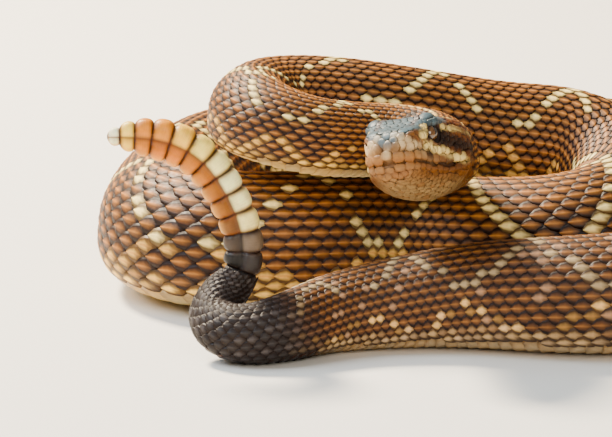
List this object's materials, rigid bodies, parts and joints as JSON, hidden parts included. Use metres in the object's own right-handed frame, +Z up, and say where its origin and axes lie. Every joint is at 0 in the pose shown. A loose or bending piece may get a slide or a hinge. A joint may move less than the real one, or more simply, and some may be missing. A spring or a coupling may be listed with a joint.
{
  "type": "south american rattlesnake",
  "caption": "Life-size coiled rattlesnake at rest, head laid on its upper coil and facing forward, with the segmented rattle raised in front.",
  "frame": {"origin": "middle of the coiled body's box, on the floor under it", "axes": "+Z up, -Y towards the snout's side and the picture's camera, +X to the picture's right"},
  "size_m": [0.2173, 0.2222, 0.0729],
  "materials": {
    "skin_brown": "satin keeled scales, brown with cream-edged rhombs",
    "throat": "smooth buff scales",
    "tail_charcoal": "matt keeled scales, charcoal grey",
    "horn": "thin dry horn, amber to cream",
    "eye": "wet, with an upright slit pupil"
  },
  "bodies": {
    "root": {"head": "skin_brown", "lower_jaw": "throat", "eye_left": "eye", "eye_right": "eye", "neck": "skin_brown", "body_1": "skin_brown", "body_2": "skin_brown", "body_3": "skin_brown", "body_4": "skin_brown", "body_5": "skin_brown", "body_6": "skin_brown", "body_7": "skin_brown", "body_8": "skin_brown", "body_9": "skin_brown", "tail": "tail_charcoal", "rattle": "horn"}
  },
  "joints": []
}
